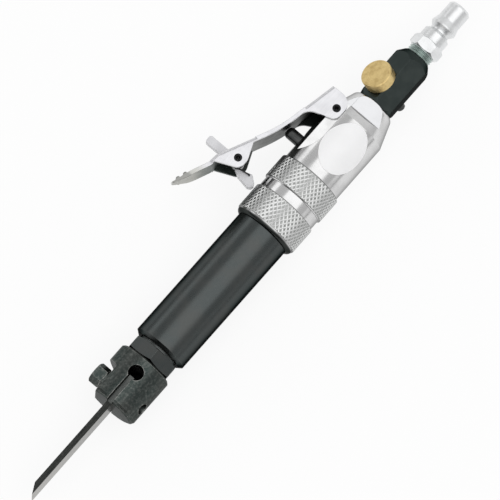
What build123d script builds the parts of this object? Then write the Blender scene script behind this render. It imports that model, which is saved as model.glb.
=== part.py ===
from build123d import *
import os
from math import asin, atan2, cos, degrees, pi, radians, sin, sqrt

# Pneumatic scraper, millimetres. X runs along the tool towards the air inlet, Y towards the lever,
# Z along the lever's pins. The origin is on the barrel's axis at the front face of the union collar.

running = 0.05  # radial clearance of a shaft in its guide
bolt_room = 0.2  # radial room of a bolt in its clearance hole
past = 1.0  # how far a cutting outline runs past the surface that it cuts
seal_gap, seal_half, seal_deep = 0.05, 0.8, 1.4  # room round a seal ring, half its groove's width, its depth
hex_cut = 0.2  # how far the turned ends of a hexagon lie inside its flats
on_face = 0.01  # how near to a face an edge counts as lying on it

# Blade and chuck
blade_thick, blade_wide = 3.0, 18.0
blade_edge_x, blade_bevel, blade_rear_x = -177.6, 5.7, -99.6
chuck_front_x, chuck_rear_x, chuck_r = -117.0, -89.0, 15.0
chuck_nose_r, chuck_nose_mid, chuck_nose = 12.6, (0.6, 14.2), 2.0
chuck_tail_r, chuck_tail = 14.2, 0.8
chuck_slot = 3.1
relief_x, relief_y, relief_r, relief_floor_z = -97.8, -0.8, 4.0, -10.0
flat_y, flat_end_x, flat_ramp = 9.2, -100.7, 2.1
bolt_x, bolt_r, bolt_tip_y, bolt_hole_y = -108.2, 3.0, -9.4, -10.4
spanner_z, spanner_r, spanner_floor_y = 4.4, 3.0, -11.4
bolt_af, bolt_head, bolt_corner, bolt_turn = 10.0, 6.0, 0.75, 30.0
washer_r, washer_thick, washer_slit, washer_turn = 5.4, 1.7, 0.9, 35.0

# Piston and rod
rod_r, rod_thread_r, rod_thread_x = 6.5, 5.0, -92.8
piston_r, piston_front_x, piston_rear_x = 11.0, -35.0, 7.0
piston_edge, ring_wide, ring_deep, ring_split, ring_xs = 1.0, 2.0, 1.4, 0.5, (-29.0, 1.0)

# Front cap and barrel
cap_af, cap_corner, cap_turn, cap_front_x, cap_hex_x = 24.5, 0.7, -6.0, -88.5, -81.0
cap_neck_r, cap_thread_r, cap_rear_x = 11.2, 12.0, -52.0
bush_r, wiper_front_x, wiper_rear_x = 9.0, -85.0, -82.0
cap_lip_r, wiper_lip, cap_seal_x = 7.2, 1.2, -75.0
buffer_long, buffer_r = 5.0, 10.9
barrel_r, barrel_bore_r, barrel_front_x = 15.0, 11.05, -79.7
barrel_lip_r, barrel_lip = 12.8, 1.7
flange_r, flange_front_x, flange_rear_x = 15.9, 7.2, 11.2

# Union collar and rear housing
knurl_r, groove_r, groove_edge = 17.4, 17.0, 0.4
collar_nose_r, collar_nose_mid = 15.3, (0.75, 16.65)
knurl_front_x, knurl_rear_x, collar_rear_x = 2.6, 17.0, 22.7
band_rear_x, band_edge = 37.3, 0.6
housing_r, cone_x, cone_end_x, cone_end_r = 16.7, 71.2, 83.9, 12.1
housing_rear_x, housing_rear_r, housing_rear_mid = 86.2, 10.0, (85.3, 11.3)
valve_bore_r, valve_rear_x = 13.0, 21.2
inlet_bore_r, inlet_bore_x, air_r = 8.0, 71.0, 4.0
pocket_y, pocket_z, pocket_front_x, pocket_floor_x = 7.5, 9.6, 42.4, 56.0
wrench_z, wrench_x, wrench_rise, wrench_run = 10.0, 76.8, 8.0, 2.6

# Valve box
plate_x, disc_thick, disc_r, disc_play = 14.2, 1.4, 9.2, 0.3
cavity_r, cavity_deep = 9.6, 2.4
port_r, front_port_ring, rear_port_ring, port_count = 1.2, 8.0, 6.0, 6
valve_seal_x = 18.6

# Throttle valve, on an axis along Y
throttle_x, chamber_r, chamber_floor_y = 48.0, 5.5, -11.0
seat_y, bush_top_y, guide_floor_y = 6.0, 15.6, 11.6
plunger_r, plunger_top_y, plunger_dome, plunger_neck_r, plunger_neck_y = 3.2, 24.8, 2.4, 2.4, 10.4
poppet_r, poppet_thick, poppet_seal = 4.6, 2.8, 1.0
flow_r, feed_y, feed_r, feed_wide, feed_deep = 4.2, 9.5, 2.5, 3.0, 0.6
throttle_spring_r, throttle_wire = 4.2, 0.8

# Throttle lever, folded from sheet
sheet, lever_half = 2.0, 12.0
bend_r, ear_inner = 1.8, 10.0
pin_r, pin_hole_r, pin_slit, pin_turn, pin_half = 2.0, 1.1, 0.6, 200.0, 12.4
pivot_x, pivot_y = 70.7, 12.1
lock_x, lock_y = 19.2, 32.8
lever_rear = (78.4, 21.04)
lever_knee = (45.2, 27.7)
lever_crest = (13.3, 42.3)
lever_dip = (8.6, 42.7)
lever_tip = (-10.8, 51.0)
knee_r = 70.0
tongue_half, tongue_tip_half, shoulder_x, shoulder_r, tip_r = 9.3, 2.6, -1.0, 6.0, 2.4
thin_x, tip_thick = -4.0, 0.65
pivot_bend_x, pivot_ear_y, pivot_ear_r, pivot_heel_r = 60.4, 8.15, 4.4, 6.2
near_throat_x, near_foot_x, far_throat_x, far_foot_x = 60.9, 66.0, 56.5, 65.4
throat_r, throat_run, ear_root = 7.0, 6.0, 0.4
lock_ear_front_x, lock_ear_rear_x = 9.3, 33.0
lock_ear_foot_x, lock_ear_heel_x, lock_ear_y, lock_ear_r = 15.9, 21.5, 28.4, 4.2
slot_half, slot_front_x, slot_rear_x = 3.1, 15.8, 29.2
ridge_r, ridge_sunk, ridge_xs = 1.2, 0.3, (-7.4, -3.8)

# Safety lock and its torsion spring
lock_half, lock_round, hub_r = 2.5, 0.4, 3.6
tab_front_x, tab_rear_x, tab_top_y, tab_round = 16.3, 20.9, 52.0, 1.5
foot = [
    (17.0, 34.0),
    (13.4, 27.7),
    (12.3, 20.7),
    (13.3, 19.1),
    (14.8, 18.6),
    (16.2, 19.3),
    (19.0, 22.9),
    (17.2, 28.4),
]
hook_point, hook_hole_r = (17.7, 23.9), 0.65
wire_r, coil_r, coil_pitch, coil_start_z = 0.4, 3.0, 1.25, 3.9
coil_turns, leg_b_heading, leg_b = 3, -18.7, 7.5
hook_r, hook = 1.0, 2.0
spring_samples = 600

# Label, adapter, regulator and plug
label_x, label_angle, label_long, label_tall, label_thick = 56.4, -16.2, 28.6, 22.4, 0.2
adapter_af, regulator_turn = 19.0, 33.0
adapter_rear_x, adapter_front_r, adapter_front, adapter_rear_r, adapter_taper = 118.7, 9.6, 2.5, 7.6, 4.6
spigot_x, adapter_bore_r, socket_x, socket_r, adapter_seal_x = 73.0, 4.5, 107.2, 6.6, 80.0
regulator_x, spindle_r, spindle_port_r, spindle_floor = 96.9, 4.0, 3.2, -6.4
knob_r, knob_base, knob_top, knob_edge, stub_r, stub_top = 8.2, 9.9, 16.0, 0.5, 3.0, 13.5
tail_r, tail_end, clip_r, clip_thick, clip_top, clip_neck_r = 2.5, -15.7, 4.0, 0.8, -9.75, 1.9
spindle_seal_h, spindle_seal_deep, clip_mouth = 6.2, 0.9, 2.8
screen_thick, screen_pitch, screen_hole_r, washer_long = 0.6, 2.2, 0.7, 1.0
plug_hex_x, plug_hex_end_x, plug_af, plug_turn = 123.0, 129.3, 15.3, 1.4
plug_front_corner, plug_rear_corner = 1.0, 1.2
plug_collar_end_x, plug_groove_end_x, plug_ridge_end_x, plug_end_x = 135.8, 136.7, 143.2, 152.9
plug_collar_r, plug_groove_r, plug_nose_r, plug_bore_r = 7.2, 5.4, 6.2, 3.75
plug_slope, plug_ridge_x, plug_ridge, plug_edge = 1.6, 139.0, 0.8, 1.2
thread_root_r, thread_crest_r, thread_pitch, thread_count = 6.3, 7.0, 1.337, 3


def half_section(*points, plane=Plane.XY):
    """The closed outline of a turned piece on one side of its axis."""
    with BuildSketch(plane) as section:
        with BuildLine():
            Polyline(*points, close=True)
        make_face()
    return section.sketch


def seal_ring(plane, inner, outer):
    """A round-section ring that lies between two radii, with room on both sides."""
    wire = (outer - inner) / 2 - seal_gap
    with BuildPart(plane) as ring:
        Torus((outer + inner) / 2, wire)
    return ring.part


def hexagon(plane, across_flats, turn, length):
    """A hexagonal bar from its plane, with one corner turned from the plane's x axis."""
    with BuildPart() as bar:
        with BuildSketch(plane):
            RegularPolygon(across_flats / 2, 6, major_radius=False, rotation=turn)
        extrude(amount=length)
    return bar.part


def save(name, piece):
    piece.part.label = name
    export_step(piece.part, f"parts/{name}.step")


os.makedirs("parts", exist_ok=True)
along_x = Plane.YZ  # local x is Y, local y is Z
throttle_axis = Axis((throttle_x, 0, 0), (0, 1, 0))
bolt_axis = Axis((bolt_x, 0, 0), (0, 1, 0))
regulator_dir = (0, sin(radians(regulator_turn)), cos(radians(regulator_turn)))
regulator_axis = Axis((regulator_x, 0, 0), regulator_dir)
regulator_plane = Plane((regulator_x, 0, 0), (1, 0, 0), (0, -regulator_dir[2], regulator_dir[1]))


def square_to_y(x, y):
    return Plane((x, y, 0), x_dir=(1, 0, 0), z_dir=(0, 1, 0))


# Blade: one face ground to the cutting edge, with a hole for the clamp bolt
with BuildPart() as scraper_blade:
    with BuildSketch(Plane.XY):
        with BuildLine():
            Polyline(
                (blade_edge_x, -blade_thick / 2),
                (blade_edge_x + blade_bevel, blade_thick / 2),
                (blade_rear_x, blade_thick / 2),
                (blade_rear_x, -blade_thick / 2),
                close=True,
            )
        make_face()
    extrude(amount=blade_wide / 2, both=True)
    with Locations(square_to_y(bolt_x, 0)):
        Hole(bolt_r + bolt_room)
save("scraper_blade", scraper_blade)

# Chuck: a turned head, slit to a relief hole, with a flat for the clamp bolt and a hole for a pin spanner
with BuildPart() as blade_chuck:
    revolve(
        half_section(
            (chuck_front_x, 0),
            (chuck_front_x, chuck_nose_r),
            (chuck_front_x + chuck_nose_mid[0], chuck_nose_mid[1]),
            (chuck_front_x + chuck_nose, chuck_r),
            (chuck_rear_x - chuck_tail, chuck_r),
            (chuck_rear_x, chuck_tail_r),
            (chuck_rear_x, rod_thread_r),
            (rod_thread_x, rod_thread_r),
            (rod_thread_x, 0),
        ),
        axis=Axis.X,
    )
    with BuildSketch(Plane.XY):
        with BuildLine():
            Polyline(
                (chuck_front_x - past, flat_y),
                (flat_end_x, flat_y),
                (flat_end_x + flat_ramp, chuck_r + past),
                (chuck_front_x - past, chuck_r + past),
                close=True,
            )
        make_face()
    extrude(amount=chuck_r, both=True, mode=Mode.SUBTRACT)
    with BuildSketch(Plane.XY):
        with Locations((relief_x, 0)):
            Rectangle(relief_x - chuck_front_x + past, chuck_slot, align=(Align.MAX, Align.CENTER))
    extrude(amount=chuck_r, both=True, mode=Mode.SUBTRACT)
    with BuildSketch(Plane.XY.offset(relief_floor_z)):
        with Locations((relief_x, relief_y)):
            Circle(relief_r)
    extrude(amount=chuck_r - relief_floor_z, mode=Mode.SUBTRACT)
    with BuildSketch(square_to_y(bolt_x, 0)):
        Circle(bolt_r + bolt_room)
    extrude(amount=chuck_r, mode=Mode.SUBTRACT)
    with BuildSketch(square_to_y(bolt_x, 0)):
        Circle(bolt_r)
    extrude(amount=bolt_hole_y, mode=Mode.SUBTRACT)
    with BuildSketch(square_to_y(bolt_x, spanner_floor_y)):
        with Locations((0, -spanner_z)):
            Circle(spanner_r)
    extrude(amount=-chuck_r, mode=Mode.SUBTRACT)
save("blade_chuck", blade_chuck)

with BuildPart() as clamp_washer:
    with BuildSketch(square_to_y(bolt_x, flat_y)):
        Circle(washer_r)
        Circle(bolt_r + bolt_room, mode=Mode.SUBTRACT)
        Rectangle(
            washer_r + past, washer_slit, washer_turn, align=(Align.MIN, Align.CENTER), mode=Mode.SUBTRACT
        )
    extrude(amount=washer_thick)
save("clamp_washer", clamp_washer)

head_y = flat_y + washer_thick
head_corner = bolt_af / sqrt(3)
with BuildPart() as clamp_bolt:
    add(hexagon(square_to_y(bolt_x, head_y), bolt_af, -90 - bolt_turn, bolt_head))
    revolve(
        half_section(
            (bolt_x, head_y),
            (bolt_x + head_corner, head_y),
            (bolt_x + head_corner, head_y + bolt_head - bolt_corner),
            (bolt_x + bolt_af / 2 - hex_cut, head_y + bolt_head),
            (bolt_x, head_y + bolt_head),
        ),
        axis=bolt_axis,
        mode=Mode.INTERSECT,
    )
    with BuildSketch(square_to_y(bolt_x, head_y)):
        Circle(bolt_r)
    extrude(amount=bolt_tip_y - head_y)
save("clamp_bolt", clamp_bolt)

# Piston with its rod, screwed into the chuck
ring_floor = piston_r - ring_deep
with BuildPart() as piston:
    revolve(
        half_section(
            (rod_thread_x, 0),
            (rod_thread_x, rod_thread_r),
            (chuck_rear_x, rod_thread_r),
            (chuck_rear_x, rod_r),
            (piston_front_x, rod_r),
            (piston_front_x, piston_r - piston_edge),
            (piston_front_x + piston_edge, piston_r),
            (piston_rear_x - piston_edge, piston_r),
            (piston_rear_x, piston_r - piston_edge),
            (piston_rear_x, 0),
        ),
        axis=Axis.X,
    )
    for ring_x in ring_xs:
        revolve(
            half_section(
                (ring_x, ring_floor),
                (ring_x + ring_wide, ring_floor),
                (ring_x + ring_wide, piston_r + past),
                (ring_x, piston_r + past),
            ),
            axis=Axis.X,
            mode=Mode.SUBTRACT,
        )
save("piston", piston)

with BuildPart() as piston_rings:
    for ring_x in ring_xs:
        with BuildSketch(along_x.offset(ring_x + running)):
            Circle(piston_r)
            Circle(ring_floor + seal_gap, mode=Mode.SUBTRACT)
            Rectangle(piston_r + past, ring_split, align=(Align.MIN, Align.CENTER), mode=Mode.SUBTRACT)
        extrude(amount=ring_wide - 2 * running)
save("piston_rings", piston_rings)

# Front cap: a hexagon with a threaded spigot that holds the rod's bush, wiper and seal
cap_corner_r = cap_af / sqrt(3)
cap_seal_r = cap_thread_r - seal_deep
with BuildPart() as front_cap:
    add(hexagon(along_x.offset(cap_front_x), cap_af, 90 - cap_turn, cap_hex_x - cap_front_x))
    revolve(
        half_section(
            (cap_front_x, 0),
            (cap_front_x, cap_af / 2 - hex_cut),
            (cap_front_x + cap_corner, cap_corner_r),
            (cap_hex_x - cap_corner, cap_corner_r),
            (cap_hex_x, cap_af / 2 - hex_cut),
            (cap_hex_x, 0),
        ),
        axis=Axis.X,
        mode=Mode.INTERSECT,
    )
    revolve(
        half_section(
            (cap_hex_x, 0),
            (cap_hex_x, cap_neck_r),
            (barrel_front_x, cap_neck_r),
            (barrel_front_x, cap_thread_r),
            (cap_seal_x - seal_half, cap_thread_r),
            (cap_seal_x - seal_half, cap_seal_r),
            (cap_seal_x + seal_half, cap_seal_r),
            (cap_seal_x + seal_half, cap_thread_r),
            (cap_rear_x, cap_thread_r),
            (cap_rear_x, 0),
        ),
        axis=Axis.X,
    )
    revolve(
        half_section(
            (cap_front_x - past, 0),
            (cap_front_x - past, cap_lip_r),
            (wiper_front_x, cap_lip_r),
            (wiper_front_x, bush_r),
            (cap_rear_x + past, bush_r),
            (cap_rear_x + past, 0),
        ),
        axis=Axis.X,
        mode=Mode.SUBTRACT,
    )
save("front_cap", front_cap)

with BuildPart() as rod_wiper:
    revolve(
        half_section(
            (wiper_front_x, cap_lip_r),
            (wiper_front_x, bush_r),
            (wiper_rear_x, bush_r),
            (wiper_rear_x, rod_r + running),
            (wiper_rear_x - wiper_lip, rod_r + running),
        ),
        axis=Axis.X,
    )
save("rod_wiper", rod_wiper)

with BuildPart() as guide_bush:
    with BuildSketch(along_x.offset(wiper_rear_x)):
        Circle(bush_r)
        Circle(rod_r + running, mode=Mode.SUBTRACT)
    extrude(amount=cap_rear_x - wiper_rear_x)
save("guide_bush", guide_bush)

with BuildPart() as cap_seal:
    add(seal_ring(along_x.offset(cap_seal_x), cap_seal_r, cap_thread_r))
save("cap_seal", cap_seal)

with BuildPart() as front_buffer:
    with BuildSketch(along_x.offset(cap_rear_x)):
        Circle(buffer_r)
        Circle(cap_lip_r, mode=Mode.SUBTRACT)
    extrude(amount=buffer_long)
save("front_buffer", front_buffer)

# Barrel: bored tube, threaded for the cap in front, flanged behind for the collar
with BuildPart() as barrel:
    revolve(
        half_section(
            (barrel_front_x, cap_thread_r),
            (barrel_front_x, barrel_lip_r),
            (barrel_front_x + barrel_lip, barrel_r),
            (flange_front_x, barrel_r),
            (flange_front_x, flange_r),
            (flange_rear_x, flange_r),
            (flange_rear_x, barrel_bore_r),
            (cap_rear_x, barrel_bore_r),
            (cap_rear_x, cap_thread_r),
        ),
        axis=Axis.X,
    )
save("barrel", barrel)

# Union collar: its lip draws the barrel's flange to the housing
with BuildPart() as union_collar:
    with BuildSketch(Plane.XY):
        with BuildLine():
            nose = ThreePointArc(
                (0, collar_nose_r),
                collar_nose_mid,
                (knurl_front_x, knurl_r),
            )
            Polyline(
                nose @ 1,
                (knurl_rear_x, knurl_r),
                (knurl_rear_x + groove_edge, groove_r),
                (collar_rear_x, groove_r),
                (collar_rear_x, flange_r),
                (flange_front_x, flange_r),
                (flange_front_x, barrel_r),
                (0, barrel_r),
                nose @ 0,
            )
        make_face()
    revolve(axis=Axis.X)
save("union_collar", union_collar)

# Valve box: two plates with ports and a loose disc between them
with BuildPart() as valve_front_plate:
    with BuildSketch(along_x.offset(flange_rear_x)):
        Circle(valve_bore_r)
        with PolarLocations(front_port_ring, port_count):
            Circle(port_r, mode=Mode.SUBTRACT)
    extrude(amount=plate_x - flange_rear_x)
save("valve_front_plate", valve_front_plate)

valve_seal_r = valve_bore_r - seal_deep
with BuildPart() as valve_rear_plate:
    revolve(
        half_section(
            (plate_x, valve_bore_r),
            (valve_seal_x - seal_half, valve_bore_r),
            (valve_seal_x - seal_half, valve_seal_r),
            (valve_seal_x + seal_half, valve_seal_r),
            (valve_seal_x + seal_half, valve_bore_r),
            (valve_rear_x, valve_bore_r),
            (valve_rear_x, 0),
            (plate_x + cavity_deep, 0),
            (plate_x + cavity_deep, cavity_r),
            (plate_x, cavity_r),
        ),
        axis=Axis.X,
    )
    with BuildSketch(along_x.offset(plate_x + cavity_deep)):
        with PolarLocations(rear_port_ring, port_count):
            Circle(port_r)
    extrude(amount=valve_rear_x - plate_x, mode=Mode.SUBTRACT)
save("valve_rear_plate", valve_rear_plate)

with BuildPart() as valve_disc:
    with BuildSketch(along_x.offset(plate_x + disc_play)):
        Circle(disc_r)
    extrude(amount=disc_thick)
save("valve_disc", valve_disc)

with BuildPart() as valve_seal:
    add(seal_ring(along_x.offset(valve_seal_x), valve_seal_r, valve_bore_r))
save("valve_seal", valve_seal)

# Rear housing: turned outside, bored for the valves, milled for the lever's ears and a wrench
with BuildPart() as rear_housing:
    with BuildSketch(Plane.XY):
        with BuildLine():
            shoulder = Polyline(
                (inlet_bore_x, 0),
                (inlet_bore_x, inlet_bore_r),
                (housing_rear_x, inlet_bore_r),
                (housing_rear_x, housing_rear_r),
            )
            tail = ThreePointArc(
                shoulder @ 1,
                housing_rear_mid,
                (cone_end_x, cone_end_r),
            )
            Polyline(
                tail @ 1,
                (cone_x, housing_r),
                (band_rear_x, housing_r),
                (band_rear_x - band_edge, knurl_r),
                (collar_rear_x + band_edge, knurl_r),
                (collar_rear_x, knurl_r - band_edge),
                (collar_rear_x, flange_r),
                (flange_rear_x, flange_r),
                (flange_rear_x, valve_bore_r),
                (valve_rear_x, valve_bore_r),
                (valve_rear_x, 0),
                shoulder @ 0,
            )
        make_face()
    revolve(axis=Axis.X)
    with BuildSketch(square_to_y(throttle_x, chamber_floor_y)):
        Circle(chamber_r)
    extrude(amount=housing_r - chamber_floor_y + past, mode=Mode.SUBTRACT)
    with BuildSketch(along_x.offset(throttle_x)):
        Circle(air_r)
    extrude(amount=inlet_bore_x - throttle_x, mode=Mode.SUBTRACT)
    with BuildSketch(along_x.offset(valve_rear_x)):
        with Locations((feed_y, 0)):
            Circle(feed_r)
    extrude(amount=throttle_x - chamber_r + past - valve_rear_x, mode=Mode.SUBTRACT)
    for side in (1, -1):
        with BuildSketch(Plane.XY.offset(side * pocket_z)):
            with BuildLine():
                floor = Line((housing_rear_x + past, pocket_y), (pocket_floor_x, pocket_y))
                run_out = TangentArc(
                    floor @ 1, (pocket_front_x, sqrt(housing_r**2 - pocket_z**2)), tangent=(-1, 0)
                )
                Polyline(run_out @ 1, (pocket_front_x, knurl_r), (housing_rear_x + past, knurl_r), floor @ 0)
            make_face()
        extrude(amount=side * housing_r, mode=Mode.SUBTRACT)
        with BuildSketch(Plane.XZ):
            with BuildLine():
                Polyline(
                    (wrench_x - wrench_run, side * (wrench_z + wrench_rise)),
                    (wrench_x, side * wrench_z),
                    (housing_rear_x + past, side * wrench_z),
                    (housing_rear_x + past, side * (wrench_z + wrench_rise)),
                    close=True,
                )
            make_face()
        extrude(amount=housing_r, both=True, mode=Mode.SUBTRACT)
    with BuildSketch(Plane.XY):
        with Locations((pivot_x, pivot_y)):
            Circle(pin_r)
    extrude(amount=housing_r, both=True, mode=Mode.SUBTRACT)
save("rear_housing", rear_housing)

# Throttle valve: a plunger in a seated bush, closed by a spring
bush_seal_y = (guide_floor_y + bush_top_y) / 2
bush_seal_r = chamber_r - seal_deep
with BuildPart() as throttle_bush:
    revolve(
        half_section(
            (throttle_x + flow_r, seat_y),
            (throttle_x + chamber_r, seat_y),
            (throttle_x + chamber_r, feed_y - feed_wide / 2),
            (throttle_x + chamber_r - feed_deep, feed_y - feed_wide / 2),
            (throttle_x + chamber_r - feed_deep, feed_y + feed_wide / 2),
            (throttle_x + chamber_r, feed_y + feed_wide / 2),
            (throttle_x + chamber_r, bush_seal_y - seal_half),
            (throttle_x + bush_seal_r, bush_seal_y - seal_half),
            (throttle_x + bush_seal_r, bush_seal_y + seal_half),
            (throttle_x + chamber_r, bush_seal_y + seal_half),
            (throttle_x + chamber_r, bush_top_y),
            (throttle_x + plunger_r + running, bush_top_y),
            (throttle_x + plunger_r + running, guide_floor_y),
            (throttle_x + flow_r, guide_floor_y),
        ),
        axis=throttle_axis,
    )
    with BuildSketch(along_x.offset(throttle_x)):
        with Locations((feed_y, 0)):
            Circle(port_r)
    extrude(amount=chamber_r + past, both=True, mode=Mode.SUBTRACT)
save("throttle_bush", throttle_bush)

with BuildPart() as bush_seal:
    add(seal_ring(square_to_y(throttle_x, bush_seal_y), bush_seal_r, chamber_r))
save("bush_seal", bush_seal)

poppet_y = seat_y - poppet_seal
with BuildPart() as throttle_plunger:
    revolve(
        half_section(
            (throttle_x, poppet_y - poppet_thick),
            (throttle_x + poppet_r, poppet_y - poppet_thick),
            (throttle_x + poppet_r, poppet_y),
            (throttle_x + plunger_neck_r, poppet_y),
            (throttle_x + plunger_neck_r, plunger_neck_y),
            (throttle_x + plunger_r, plunger_neck_y),
            (throttle_x + plunger_r, plunger_top_y),
            (throttle_x, plunger_top_y),
        ),
        axis=throttle_axis,
    )
    fillet(edges().sort_by(Axis.Y)[-1], plunger_dome)
save("throttle_plunger", throttle_plunger)

with BuildPart() as poppet_seal_washer:
    with BuildSketch(square_to_y(throttle_x, poppet_y)):
        Circle(poppet_r)
        Circle(plunger_neck_r + seal_gap, mode=Mode.SUBTRACT)
    extrude(amount=poppet_seal)
save("poppet_seal", poppet_seal_washer)

with BuildPart() as throttle_spring:
    with BuildSketch(square_to_y(throttle_x, chamber_floor_y)):
        Circle(throttle_spring_r)
        Circle(throttle_spring_r - throttle_wire, mode=Mode.SUBTRACT)
    extrude(amount=poppet_y - poppet_thick - chamber_floor_y)
save("throttle_spring", throttle_spring)


def on_back(x):
    """A point of the lever's outer face, as straight runs between its bends."""
    runs = [lever_tip, lever_dip, lever_crest, lever_knee, lever_rear]
    for (x0, y0), (x1, y1) in zip(runs, runs[1:]):
        if x <= x1:
            return (x, y0 + (y1 - y0) * (x - x0) / (x1 - x0))


def web(front_x, rear_x):
    """The lever's sheet in side view, cut to a stretch of its length."""
    with BuildSketch() as strip:
        with BuildLine():
            FilletPolyline(lever_rear, lever_knee, lever_crest, radius=knee_r)
            Polyline(lever_crest, lever_dip, lever_tip)
            offset(amount=sheet, side=Side.LEFT)
        make_face()
        with Locations(((front_x + rear_x) / 2, 0)):
            Rectangle(rear_x - front_x, 4 * lever_tip[1], mode=Mode.INTERSECT)
    return strip.sketch


def under(x, depth=0.0):
    """A point of the lever's inner face, or at some depth in its sheet."""
    return (x, on_back(x)[1] - sheet + depth)


def ear(*outline, toe_r, heel_r, throat=None):
    """A side plate of the lever with its two lower corners rounded, and its throat if it has one."""
    with BuildSketch() as plate:
        with BuildLine():
            Polyline(*outline, close=True)
        make_face()
        toe, heel = plate.vertices().group_by(Axis.Y)[0].sort_by(Axis.X)
        fillet(heel, heel_r)
        fillet(plate.vertices().sort_by_distance(toe)[0], toe_r)
        if throat:
            fillet(plate.vertices().sort_by_distance(throat)[0], throat_r)
    return plate.sketch


def pivot_ear(throat_x, foot_x):
    """A plate that leaves the sheet in a curve and runs down past the pivot."""
    return ear(
        under(throat_x - throat_run, ear_root),
        under(throat_x - throat_run),
        under(throat_x),
        (foot_x, pivot_ear_y),
        (lever_rear[0], pivot_ear_y),
        under(lever_rear[0], ear_root),
        toe_r=pivot_ear_r,
        heel_r=pivot_heel_r,
        throat=under(throat_x),
    )


# Throttle lever: a folded strip with two pairs of ears, a slot for the lock and a tapered tongue
pivot_web = web(near_throat_x - throat_run, lever_rear[0])
lock_web = web(lock_ear_front_x, lock_ear_rear_x)
near_ear = pivot_ear(near_throat_x, near_foot_x)
far_ear = pivot_ear(far_throat_x, far_foot_x)
lock_ear = ear(
    on_back(lock_ear_front_x),
    (lock_ear_foot_x, lock_ear_y),
    (lock_ear_heel_x, lock_ear_y),
    on_back(lock_ear_rear_x),
    toe_r=lock_ear_r,
    heel_r=lock_ear_r,
)
tongue_slope = (lever_tip[1] - lever_dip[1]) / (lever_tip[0] - lever_dip[0])
with BuildPart() as tongue:
    with BuildSketch(Plane.XY):
        add(web(lever_tip[0], lock_ear_front_x))
        Polygon(
            (thin_x, on_back(thin_x)[1] - sheet * sqrt(1 + tongue_slope**2)),
            (lever_tip[0], lever_tip[1] - tip_thick),
            (lever_tip[0], lever_tip[1] - 2 * sheet),
            align=None,
            mode=Mode.SUBTRACT,
        )
        for ridge_x in ridge_xs:
            with Locations((ridge_x, on_back(ridge_x)[1] - ridge_sunk)):
                Circle(ridge_r)
    extrude(amount=tongue_half, both=True)
    with BuildSketch(square_to_y(0, 0)):
        with BuildLine():
            Polyline(
                (lever_tip[0], tongue_tip_half),
                (shoulder_x, tongue_half),
                (lock_ear_front_x, tongue_half),
                (lock_ear_front_x, -tongue_half),
                (shoulder_x, -tongue_half),
                (lever_tip[0], -tongue_tip_half),
                close=True,
            )
        make_face()
        fillet(vertices().group_by(Axis.X)[1], shoulder_r)
        fillet(vertices().group_by(Axis.X)[0], tip_r)
    extrude(amount=lever_tip[1] + ridge_r, mode=Mode.INTERSECT)
with BuildPart() as throttle_lever:
    with BuildSketch(Plane.XY):
        add([pivot_web, lock_web, near_ear, lock_ear])
    extrude(amount=lever_half, both=True)
    fillet(
        edges().filter_by(
            lambda edge: abs(abs(edge.center().Z) - lever_half) < on_face
            and abs(edge.center().Y - on_back(edge.center().X)[1]) < on_face
        ),
        bend_r,
    )
    with BuildSketch(Plane.XY):
        add([near_ear, lock_ear])
        add([pivot_web, lock_web], mode=Mode.SUBTRACT)
    extrude(amount=ear_inner, both=True, mode=Mode.SUBTRACT)
    with BuildSketch(Plane.XY):
        add(web(lock_ear_rear_x, pivot_bend_x))
    extrude(amount=lever_half, both=True)
    with BuildSketch(Plane.XY.offset(-lever_half)):
        add(far_ear)
    extrude(amount=lever_half - ear_inner)
    add(tongue.part)
    with BuildSketch(Plane.XY):
        with Locations((pivot_x, pivot_y)):
            Circle(pin_r + running)
        with Locations((lock_x, lock_y)):
            Circle(pin_r)
    extrude(amount=lever_half, both=True, mode=Mode.SUBTRACT)
    with BuildSketch(square_to_y(slot_front_x, lock_y)):
        Rectangle(slot_rear_x - slot_front_x, 2 * slot_half, align=(Align.MIN, Align.CENTER))
    extrude(amount=lever_tip[1] - lock_y, mode=Mode.SUBTRACT)
save("throttle_lever", throttle_lever)


def roll_pin(x, y):
    """A slit, hollow pin through both ears."""
    with BuildPart() as pin:
        with BuildSketch(Plane.XY):
            with Locations((x, y)):
                Circle(pin_r)
                Circle(pin_hole_r, mode=Mode.SUBTRACT)
                Rectangle(
                    pin_r + past, pin_slit, pin_turn, align=(Align.MIN, Align.CENTER), mode=Mode.SUBTRACT
                )
        extrude(amount=pin_half, both=True)
    return pin


save("lever_pin", roll_pin(pivot_x, pivot_y))
save("lock_pin", roll_pin(lock_x, lock_y))

# Safety lock: a plate with a thumb tab through the lever and a foot over the knurled band
with BuildPart() as safety_lock:
    with BuildSketch(Plane.XY):
        with Locations(((tab_front_x + tab_rear_x) / 2, lock_y)):
            Rectangle(tab_rear_x - tab_front_x, tab_top_y - lock_y, align=(Align.CENTER, Align.MIN))
        fillet(vertices().group_by(Axis.Y)[-1], tab_round)
        with BuildLine():
            Polyline(*foot, close=True)
        make_face()
        with Locations((lock_x, lock_y)):
            Circle(hub_r)
    extrude(amount=lock_half, both=True)
    fillet(faces().filter_by(Axis.Z).edges(), lock_round)
    with BuildSketch(Plane.XY):
        with Locations((lock_x, lock_y)):
            Circle(pin_r + running)
        with Locations(hook_point):
            Circle(hook_hole_r)
    extrude(amount=lock_half, both=True, mode=Mode.SUBTRACT)
save("safety_lock", safety_lock)


def biarc(start, heading, end, end_heading):
    """Two arcs that leave one point and reach another along given unit headings."""
    chord = end - start
    along = chord.dot(heading + end_heading)
    bend = 2 * (1 - heading.dot(end_heading))
    reach = (sqrt(along**2 + bend * chord.dot(chord)) - along) / bend
    near = start + heading * reach
    far = end - end_heading * reach
    middle = (near + far) / 2
    TangentArc(start, middle, tangent=heading)
    TangentArc(middle, end, tangent=far - near)


def coil_point(angle, z):
    return Vector(lock_x + coil_r * cos(angle), lock_y + coil_r * sin(angle), z)


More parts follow.
